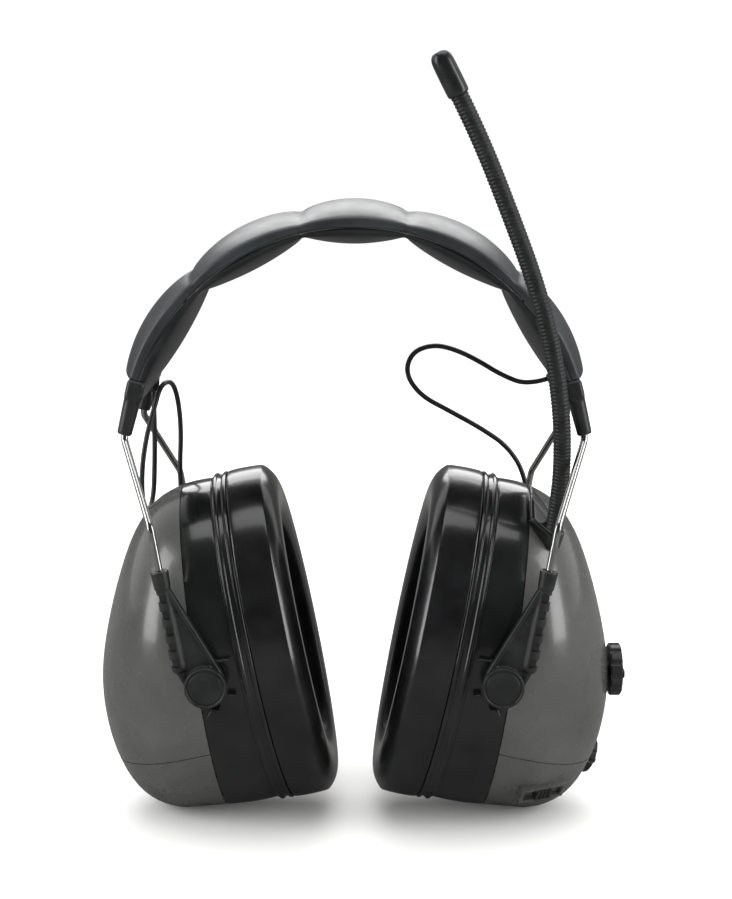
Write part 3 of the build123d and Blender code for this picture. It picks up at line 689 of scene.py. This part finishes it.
def makeYokes():
    bm = bmesh.new()
    along = (onBand(75.6) - onBand(75.4)).normalized()
    out = Vector((math.sin(math.radians(yoke["end"])), 0, math.cos(math.radians(yoke["end"]))))
    middle = onBand((yoke["start"] + yoke["end"]) / 2 + 0.2, band["radius"] + (yoke["inner"] + yoke["outer"]) / 2)
    length = math.radians(yoke["end"] - yoke["start"]) * band["radius"]
    seat = facing(middle, along, (0, 1, 0))
    addBox(bm, (2 * yoke["halfWidth"], yoke["outer"] - yoke["inner"], length), seat)
    bmesh.ops.bevel(bm, geom=bm.edges[:], offset=yoke["round"], segments=4, affect="EDGES", profile=0.5, material=-1)
    webMiddle = onBand((yoke["end"] + yoke["webEnd"]) / 2)
    web = facing(webMiddle, along, (0, 1, 0))
    webLength = math.radians(yoke["webEnd"] - yoke["end"]) * band["radius"] + mm
    addBox(bm, (2 * yoke["webHalf"], yoke["webThickness"], webLength), web)
    for sign in (-1, 1):
        top = onBand(yoke["end"] - yoke["legInside"], y=sign * yoke["legSpacing"]) + out * yoke["legOut"]
        leg = facing(top, along)
        reach = yoke["legLength"] + math.radians(yoke["legInside"]) * band["radius"]
        addCylinder(bm, yoke["legTop"], reach, leg, 40, yoke["legFoot"])
    right = finishPiece("rightYoke", bm, nylon)
    meld(right, 0.45 * mm, 6)
    left = mirrored(right, "leftYoke")
    # the cord spouts differ from side to side
    for side, piece in (("right", right), ("left", left)):
        start = Vector(cordRoutes[side][0]) * mm
        aim = (Vector(cordRoutes[side][1]) * mm - start).normalized()
        spout = bmesh.new()
        line = [start + aim * (step * mm) for step, width in yoke["spout"]]
        tubeAlong(spout, line, [width * mm for step, width in yoke["spout"]], 28)
        finishPiece(side + "CordSpout", spout, nylon, side + "_side")
        dress(piece, side + "_side", (side + "_yoke",))
    print("yokes made")


# cords: the same routes as in the part, millimetres
cordRoutes = {
    "left": ((-71.6, 21.0, -54.0), (-71.5, 21.6, -66.0), (-71.9, 22.8, -79.5), (-72.6, 23.5, -92.5),
             (-73.6, 16.0, -97.0), (-74.8, 8.5, -92.5), (-74.9, 9.0, -80.0), (-73.2, 11.0, -68.5),
             (-70.6, 14.2, -58.8), (-68.6, 18.0, -51.2), (-65.4, 25.3, -50.8), (-63.7, 29.6, -58.6),
             (-63.0, 30.3, -70.5), (-63.9, 30.2, -84.6), (-63.2, 29.0, -98.3)),
    "right": ((68.0, 21.0, -49.6), (61.0, 21.9, -52.0), (52.0, 23.2, -48.6), (44.0, 24.5, -43.8),
              (36.0, 25.7, -39.9), (27.9, 27.0, -38.1), (20.2, 27.5, -40.9), (17.8, 28.0, -48.6),
              (23.2, 28.5, -56.7), (33.5, 29.0, -62.3), (45.5, 29.5, -69.0), (55.5, 30.0, -76.0),
              (61.9, 30.0, -86.9), (63.2, 29.0, -98.3)),
}
cord = {"radius": 0.9 * mm, "spacing": 0.8 * mm}


def makeCords():
    for side, route in cordRoutes.items():
        line = evenly(routePoints(side + "Route", [Vector(point) * mm for point in route], 24), cord["spacing"])
        # the cord is two lengths, met at its far turn, so that each crosses one joint
        if side == "left":
            turn = min(range(len(line)), key=lambda index: line[index].z + (0 if index < len(line) * 0.6 else 1))
        else:
            turn = min(range(len(line)), key=lambda index: line[index].x)
        for part, points, a, b in (("Upper", line[:turn + 1], "_side", "_arms"),
                                   ("Lower", line[turn:], "_arms", "_cup")):
            bm = bmesh.new()
            tubeAlong(bm, points, [cord["radius"]] * len(points), 14)
            piece = finishPiece(side + "Cord" + part, bm, cordPvc)
            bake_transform(piece)
            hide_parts(side + "_cord")
    print("cords made")


makeCords()
makeYokes()

# pivot arms
arm = {
    "lean": 10.0, "plane": 46.5 * mm, "offset": 7.75 * mm, "bottom": 6.0 * mm, "top": 40.2 * mm,
    "tubeRadius": 2.35 * mm, "collarRadius": 3.0 * mm, "collarLength": 6.0 * mm,
    "eyeRadius": 6.3 * mm, "thickness": 3.7 * mm, "panel": 1.6 * mm, "ribWidth": 1.7 * mm,
    "windows": 5, "pitch": 5.5 * mm, "windowLength": 2.6 * mm, "wireRadius": 1.3 * mm,
}
pivot = Vector(joints["right_tilt"]["pos_m"])
armFrame = Matrix.Translation(pivot) @ Matrix.Rotation(math.radians(arm["lean"]), 4, "Y")


def cutAway(piece, bm):
    # a cutter's own solids mustn't overlap, so windows, hollows and bore are cut one after another
    tool = finishPiece("cutter", bm, nylon)
    addModifier(piece, "BOOLEAN", operation="DIFFERENCE", object=tool, solver="EXACT")
    applyModifiers(piece)
    bpy.data.objects.remove(tool)


def makeArm(sign):
    # local frame: X across to the wire, Y out of the side, Z along the wire
    bm = bmesh.new()
    side = Matrix.Rotation(math.radians(-90), 4, "X")
    half = arm["thickness"] / 2
    addCylinder(bm, arm["eyeRadius"], arm["thickness"], Matrix.Translation((0, -half, 0)) @ side, 56)
    tubeLine = Matrix.Translation((arm["offset"], 0, arm["bottom"]))
    addCylinder(bm, arm["tubeRadius"], arm["top"] - arm["bottom"], tubeLine, 32)
    collar = Matrix.Translation((arm["offset"], 0, arm["top"] - arm["collarLength"]))
    addCylinder(bm, arm["collarRadius"] * 0.9, arm["collarLength"], collar, 32, arm["collarRadius"])
    # the panel between tube and eye
    corners = ((-arm["eyeRadius"] * 0.9, 2.5 * mm), (arm["offset"] - 1.2 * mm, arm["top"] - arm["collarLength"]),
               (arm["offset"], arm["top"] - arm["collarLength"]), (arm["offset"], arm["bottom"] + mm),
               (arm["eyeRadius"] * 0.8, -3.5 * mm))
    panel = [bm.verts.new((x, -arm["panel"] / 2, z)) for x, z in corners]
    face = bm.faces.new(panel)
    grown = bmesh.ops.extrude_face_region(bm, geom=[face])["geom"]
    lifted = [item for item in grown if isinstance(item, bmesh.types.BMVert)]
    bmesh.ops.translate(bm, verts=lifted, vec=(0, arm["panel"], 0))
    # the raised rib along the panel's free edge, and one along the tube's foot
    for start, end in (((corners[0][0] + 0.4 * mm, corners[0][1]), corners[1]),
                       ((arm["eyeRadius"] * 0.7, -3.8 * mm), (arm["offset"] + 0.9 * mm, arm["bottom"] + 2 * mm))):
        foot = Vector((start[0], 0, start[1]))
        head = Vector((end[0], 0, end[1]))
        rib = facing((foot + head) / 2, head - foot, (0, 1, 0))
        addBox(bm, (arm["thickness"] * 0.88, arm["ribWidth"], (head - foot).length), rib)
    piece = finishPiece("armDraft", bm, nylon)
    meld(piece, 0.33 * mm, 3)
    holes, hollows = bmesh.new(), bmesh.new()
    top = arm["top"] - arm["collarLength"] - arm["pitch"] * 0.55
    for index in range(arm["windows"]):
        place = Matrix.Translation((arm["offset"] + 2.35 * mm, 0, top - index * arm["pitch"]))
        addBox(holes, (1.6 * mm, 6 * mm, arm["windowLength"]), place)
        hollow = Matrix.Translation((arm["offset"] + 0.5 * mm, sign * 3.0 * mm, top - index * arm["pitch"]))
        addBox(hollows, (2.5 * mm, 3.1 * mm, arm["windowLength"] * 1.1), hollow)
    cutAway(piece, holes)
    cutAway(piece, hollows)
    bore = bmesh.new()
    addCylinder(bore, arm["wireRadius"], arm["top"], tubeLine @ Matrix.Translation((0, 0, 2 * mm)), 24)
    cutAway(piece, bore)
    place = Matrix.Translation((0, sign * arm["plane"], 0)) @ armFrame
    piece.data.transform(place)
    shadeSmooth(piece.data)
    softEdges(piece, 0.22 * mm, 2, 50)
    return piece


def makeArms():
    for sign, place in ((-1, "rear"), (1, "front")):
        right = makeArm(sign)
        right.name = "right" + place.title() + "Arm"
        dress(right, "right_arms", ("right_" + place + "_arm",))
        mirrored(right, "left" + place.title() + "Arm", "left_arms", ("left_" + place + "_arm",))
    print("arms made")


makeArms()

# pivot buttons
button = {
    "under": 48.7 * mm,  # the head's underside, from the middle plane
    # radius and height above that underside, from the face round the rim and down the pin
    "outline": ((0.0, 2.55), (4.6, 2.55), (5.35, 2.5), (5.6, 2.25), (5.95, 2.2), (6.15, 2.55), (6.45, 2.7),
                (6.75, 2.55), (6.85, 2.2), (6.85, 0.5), (6.6, 0.15), (6.2, 0.0), (2.6, 0.0), (2.5, -4.0),
                (0.0, -4.0)),
}


def makeButtons():
    for sign, place in ((-1, "rear"), (1, "front")):
        seat = facing(pivot + Vector((0, sign * button["under"], 0)), (0, sign, 0), (1, 0, 0))
        bm = bmesh.new()
        turnOutline(bm, button["outline"], seat, 64)
        right = finishPiece("right" + place.title() + "Button", bm, nylon, "right_cup",
                            ("right_" + place + "_pivot",))
        softEdges(right, 0.12 * mm, 2, 30)
        mirrored(right, "left" + place.title() + "Button", "left_cup", ("left_" + place + "_pivot",))
    print("buttons made")


makeButtons()

# cups
sealMount = mounts["right_ear_seal"]
outwards = -Vector(sealMount["axis"]).normalized()
cupFrame = (Matrix.Translation(Vector(sealMount["pos_m"]))
            @ Matrix.Rotation(math.atan2(-outwards.z, outwards.x), 4, "Y")
            @ Matrix.Translation((-2 * mm, 0, 0)))  # the seal's face is 2 mm out from this frame's origin
cup = {
    "ratio": 0.735, "segments": 72, "wall": 2.5 * mm,
    # distance from the seal face, middle of the oval, half height
    "skin": ((24.5, 0.0, 57.7), (25.0, 0.0, 58.0), (29.0, 0.0, 58.15), (34.0, -0.05, 58.1), (40.0, -0.5, 57.1),
             (46.0, -1.35, 55.5), (52.0, -3.8, 52.5), (57.0, -6.9, 49.2), (62.0, -10.5, 44.1), (66.5, -13.6, 38.5),
             (70.5, -16.2, 32.3), (73.6, -17.6, 26.0), (75.8, -18.1, 19.8), (77.3, -18.3, 13.4), (78.1, -18.35, 6.8)),
    "crest": (78.35, -18.35),  # the outermost point: distance from the seal face, and height
    "partingU": 38.5, "partingSlope": 0.065, "seamU": 44.0, "seamV": -27.5, "seamSlope": 0.1, "seamGap": 0.16,
}


def ovalLoop(bm, u, middle, half, depth=None):
    # an oval of the cup's shape, or of its own half depth
    turn = Matrix.Rotation(math.radians(90), 4, "Y")
    wide = half * cup["ratio"] if depth is None else depth
    place = Matrix.Translation((u * mm, 0, middle * mm)) @ Matrix.Diagonal((1, wide * mm, half * mm, 1)) @ turn
    return circleLoop(bm, cup["segments"], 1.0, place)[1]


def loftOvals(bm, ovals, capFirst=False, capLast=False):
    # each oval: distance from the seal face, middle, half height, half depth
    loops = [ovalLoop(bm, *oval) for oval in ovals]
    for first, second in zip(loops, loops[1:]):
        bmesh.ops.bridge_loops(bm, edges=first + second)
    if capFirst:
        closeLoop(bm, loops[0])
    if capLast:
        closeLoop(bm, loops[-1])
    return loops


def cupHull():
    bm = bmesh.new()
    loops = loftOvals(bm, cup["skin"])
    middle = bm.verts.new((cup["crest"][0] * mm, 0, cup["crest"][1] * mm))
    for edge in loops[-1]:
        bm.faces.new((edge.verts[0], edge.verts[1], middle))
    bmesh.ops.recalc_face_normals(bm, faces=bm.faces)
    hull = addObject("hullDraft", bmToMesh("hullDraft", bm))
    subdivide(hull, 1)
    return applyModifiers(hull)


def keepSide(bm, point, normal):
    bmesh.ops.bisect_plane(bm, geom=bm.verts[:] + bm.edges[:] + bm.faces[:], plane_co=point, plane_no=normal,
                           clear_inner=True, dist=0.001 * mm)


def partingPlane(offset):
    normal = Vector((1, 0, cup["partingSlope"])).normalized()
    return Vector((cup["partingU"] * mm, 0, 0)) + normal * offset * mm, normal


def seamPlane(offset):
    normal = Vector((cup["seamSlope"], 0, 1)).normalized()
    return Vector((cup["seamU"] * mm, 0, cup["seamV"] * mm)) + normal * offset * mm, normal


def shellPiece(hull, name, planes, material):
    bm = meshToBm(hull)
    for point, normal in planes:
        keepSide(bm, point, normal)
    bmesh.ops.transform(bm, matrix=cupFrame, verts=bm.verts)
    piece = finishPiece(name, bm, material)
    addModifier(piece, "SOLIDIFY", thickness=cup["wall"], offset=-1, use_even_offset=True)
    softEdges(piece, 0.28 * mm, 3, 50)
    return piece


def makeShells():
    hull = cupHull()
    gap = cup["seamGap"]
    partPoint, partNormal = partingPlane(gap)
    ringPoint, ringNormal = partingPlane(-gap)
    upPoint, upNormal = seamPlane(gap)
    downPoint, downNormal = seamPlane(-gap)
    upper = shellPiece(hull, "rightOuterShell", ((partPoint, partNormal), (upPoint, upNormal)), shellAbs)
    lower = shellPiece(hull, "rightLowerCover", ((partPoint, partNormal), (downPoint, -downNormal)), shellAbs)
    ring = shellPiece(hull, "rightInnerCup", ((ringPoint, -ringNormal),), blackAbs)
    mirrored(upper, "leftOuterShell", "left_cup", ("left_outer_shell",))
    mirrored(lower, "batteryDoor", "battery_door", ("left_battery_door",))
    mirrored(ring, "leftInnerCup", "left_cup", ("left_inner_cup",))
    dress(upper, "right_cup", ("right_outer_shell",))
    dress(lower, "right_cup", ("right_lower_cover",))
    dress(ring, "right_cup", ("right_inner_cup",))
    bpy.data.objects.remove(hull)
    print("shells made")


makeShells()

sealRing = {
    # distance from the frame's origin, half height; the depth follows the cup's shape
    "outline": ((19.0, 57.8), (19.0, 58.6), (19.15, 58.95), (19.7, 59.15), (20.3, 59.0), (20.5, 58.5), (20.9, 58.35),
                (21.9, 58.35), (22.2, 58.55), (22.4, 58.95), (22.9, 59.1), (23.4, 58.95), (23.6, 58.4), (23.8, 58.15),
                (24.4, 58.1), (24.4, 43.0)),
    "outerDepth": 0.15, "innerDepth": -2.8, "lastOval": (19.0, 0.0, 43.0, 28.8),
}


def makeSealRings():
    bm = bmesh.new()
    ovals = []
    for u, half in sealRing["outline"]:
        extra = sealRing["outerDepth"] if half > 50 else sealRing["innerDepth"]
        ovals.append((u, 0.0, half, half * cup["ratio"] + extra))
    ovals.append(sealRing["lastOval"])
    loops = loftOvals(bm, ovals)
    bmesh.ops.bridge_loops(bm, edges=loops[-1] + loops[0])
    bmesh.ops.transform(bm, matrix=cupFrame, verts=bm.verts)
    right = finishPiece("rightSealRing", bm, blackAbs, "right_cup", ("right_seal_ring",))
    softEdges(right, 0.15 * mm, 2, 40)
    mirrored(right, "leftSealRing", "left_cup", ("left_seal_ring",))
    print("seal rings made")


makeSealRings()

cushion = {
    # distance from the frame's origin, half height, half depth: round the side, over the lip, in through the ear
    "outline": ((18.9, 56.0, 41.0), (18.95, 58.2, 42.9), (18.75, 58.9, 43.35), (18.2, 59.2, 43.6), (15.0, 59.35, 43.75),
                (11.0, 59.3, 43.7), (7.6, 59.1, 43.55), (6.5, 58.85, 43.3), (6.0, 58.3, 42.8), (5.2, 57.6, 42.1),
                (3.4, 55.2, 39.9), (2.3, 52.0, 36.9), (2.1, 48.6, 33.8), (2.7, 45.4, 30.8), (4.2, 42.6, 28.2),
                (6.6, 40.4, 26.3), (10.0, 39.4, 25.5), (14.0, 39.3, 25.4), (18.9, 40.0, 26.2)),
}


def makeCushions():
    bm = bmesh.new()
    loops = loftOvals(bm, [(u, 0.0, half, depth) for u, half, depth in cushion["outline"]])
    bmesh.ops.bridge_loops(bm, edges=loops[-1] + loops[0])
    right = finishPiece("rightCushion", bm, sealVinyl)

    def heldDown(point):
        u = point.x / mm
        size = math.hypot(point.z, point.y / cup["ratio"]) / mm
        return u > 17.5 or (5.5 < u < 7.9 and size > 57)  # glued back, and the weld near the face

    inflate(right, heldDown, 3.0, 1.0 * mm)
    subdivide(right, 2)
    applyModifiers(right)
    shadeSmooth(right.data)
    right.data.transform(cupFrame)
    dress(right, "right_cup", ("right_cushion",))
    left = mirrored(right, "leftCushion", "left_cup", ("left_cushion",))
    print("cushions made")


makeCushions()

foamPad = {"front": 27.8, "back": 36.4, "half": 41.8, "depth": 27.8}


def makeFoamLiners():
    bm = bmesh.new()
    front, back, half, depth = (foamPad[key] for key in ("front", "back", "half", "depth"))
    outline = ((back, half - 1, depth - 1), (back - 1, half, depth), (front + 1.6, half, depth),
               (front + 0.5, half - 1, depth - 1), (front, half - 3, depth - 3), (front, half * 0.75, depth * 0.72),
               (front + 0.2, half * 0.5, depth * 0.48), (front + 0.2, half * 0.2, depth * 0.2))
    loftOvals(bm, [(u, 0.0, a, b) for u, a, b in outline], True, True)
    bmesh.ops.transform(bm, matrix=cupFrame, verts=bm.verts)
    right = finishPiece("rightFoamLiner", bm, foam, "right_cup", ("right_foam_liner",))
    left = mirrored(right, "leftFoamLiner", "left_cup", ("left_foam_liner",))
    for side in ("left", "right"):
        repaint(plateAbs, side + "_speaker_baffle")
        repaint(coneBlack, side + "_speaker")
        repaint(zincSteel, side + "_baffle_screws")
        repaint(nylon, side + "_cord_gland")
    repaint(plateAbs, "left_battery_tray", "tuning_encoder", "volume_encoder")
    repaint(cellSleeve, "batteries")
    repaint(tinPlate, "battery_contacts")
    repaint(boardGreen, "circuit_board")
    repaint(shellAbs, "switch_body")
    repaint(knobRubber, "band_switch", "tuning_knob", "volume_knob")
    print("linings and inner pieces made")


makeFoamLiners()

# small mouldings on the cups
bracket = {
    # where the foot meets the seam between ring and shell, in the cup's frame
    "foot": ((34.9, -7.5, 57.2), (35.1, -15.0, 54.4), (35.6, -22.5, 49.6)),
    "proud": 2.6 * mm, "socket": 3.9 * mm, "depth": 8 * mm,
}


def makeBracket():
    aim = (Vector(whip["route"][1]) - Vector(whip["route"][0])).normalized()
    base = Vector(whip["route"][0]) * mm
    bm = bmesh.new()
    for u, y, v in bracket["foot"]:
        point = cupFrame @ (Vector((u, y, v)) * mm)
        outward = (cupFrame.to_3x3() @ Vector((0.15, y / cup["ratio"] ** 2, v))).normalized()
        along = cupFrame.to_3x3() @ Vector((1, 0, 0))
        bm.verts.new(point + outward * bracket["proud"])
        bm.verts.new(point - outward * 2 * mm)
        bm.verts.new(point + outward * bracket["proud"] * 0.4 - along * 0.8 * mm)
    seat = facing(base, aim)
    circleLoop(bm, 28, bracket["socket"], seat @ Matrix.Translation((0, 0, 0.6 * mm)))
    circleLoop(bm, 28, bracket["socket"] * 0.8, seat @ Matrix.Translation((0, 0, -bracket["depth"] * 0.5)))
    circleLoop(bm, 28, bracket["socket"] * 0.4, seat @ Matrix.Translation((0, 0.8 * mm, -bracket["depth"])))
    hull = bmesh.ops.convex_hull(bm, input=bm.verts[:])
    unused = [item for item in hull["geom_interior"] + hull["geom_unused"] if isinstance(item, bmesh.types.BMVert)]
    bmesh.ops.delete(bm, geom=list(set(unused)), context="VERTS")
    loose = [edge for edge in bm.edges if not edge.link_faces]
    bmesh.ops.delete(bm, geom=loose, context="EDGES")
    piece = finishPiece("whipBracket", bm, blackAbs)
    meld(piece, 0.4 * mm, 8)
    dress(piece, "right_cup", ("antenna_bracket",))


lugs = {
    # bars round the button, seen from the rear: middle across and up from the pivot, length, thickness, slope
    "bars": ((-5.2, 7.6, 4.6, 0.8, 8), (-8.0, -4.4, 2.8, 0.8, -8), (-1.2, -10.6, 3.2, 1.2, 62),
             (-2.6, -9.6, 2.6, 1.1, -4)),
    "base": 41.6 * mm, "face": 45.6 * mm,
}


def makeLugs():
    for sign, place in ((-1, "Rear"), (1, "Front")):
        bm = bmesh.new()
        for across, up, length, thick, slope in lugs["bars"]:
            middle = pivot + Vector((across * mm, 0, up * mm))
            middle.y = sign * (lugs["base"] + lugs["face"]) / 2
            seat = Matrix.Translation(middle) @ Matrix.Rotation(math.radians(slope), 4, "Y")
            addBox(bm, (length * mm, lugs["face"] - lugs["base"], thick * mm), seat)
        right = finishPiece("right" + place + "Lugs", bm, blackAbs, "right_cup")
        softEdges(right, 0.25 * mm, 3, 40)
        mirrored(right, "left" + place + "Lugs", "left_cup")
    print("lugs made")


makeLugs()

# whip antenna
whip = {
    "route": ((66.3, -24.4, -95.0), (68.0, -25.8, -81.5), (68.4, -28.2, -69.5), (67.6, -31.8, -55.5),
              (65.5, -33.4, -40.0), (61.8, -34.4, -23.5), (56.7, -35.0, -7.2), (50.0, -35.3, 10.0),
              (42.6, -35.6, 28.2), (36.6, -35.8, 41.2), (32.6, -36.0, 49.0)),
    "radius": 3.0, "groove": 0.32, "pitch": 1.25, "smoothEnd": 3.0,
    "tip": ((-1.0, 3.0), (-0.4, 3.45), (0.3, 3.6), (3.0, 3.62), (9.5, 3.6), (11.6, 3.5), (13.0, 3.05), (13.9, 2.2),
            (14.25, 1.1)),
}


def makeWhip():
    route = routePoints("whipRoute", [Vector(point) * mm for point in whip["route"]], 24)
    line = evenly(route, whip["pitch"] * mm / 4)
    radii = []
    for index in range(len(line)):
        along = index * whip["pitch"] / 4
        ribbed = along > whip["smoothEnd"]
        depth = (0, 0.35, 1.0, 0.35)[index % 4] if ribbed else 0
        radii.append((whip["radius"] - whip["groove"] * depth) * mm)
    bm = bmesh.new()
    tubeAlong(bm, line, radii, 22)
    piece = finishPiece("whip", bm, whipRubber)
    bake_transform(piece)
    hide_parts("antenna_whip")
    tipBm = bmesh.new()
    aim = (line[-1] - line[-3]).normalized()
    tipLine = [line[-1] + aim * step * mm for step, width in whip["tip"]]
    tubeAlong(tipBm, tipLine, [width * mm for step, width in whip["tip"]], 40)
    tip = finishPiece("whipTip", tipBm, tipRubber, "antenna", ("antenna_tip",))
    subdivide(tip, 1)
    print("whip made")


makeWhip()
makeBracket()
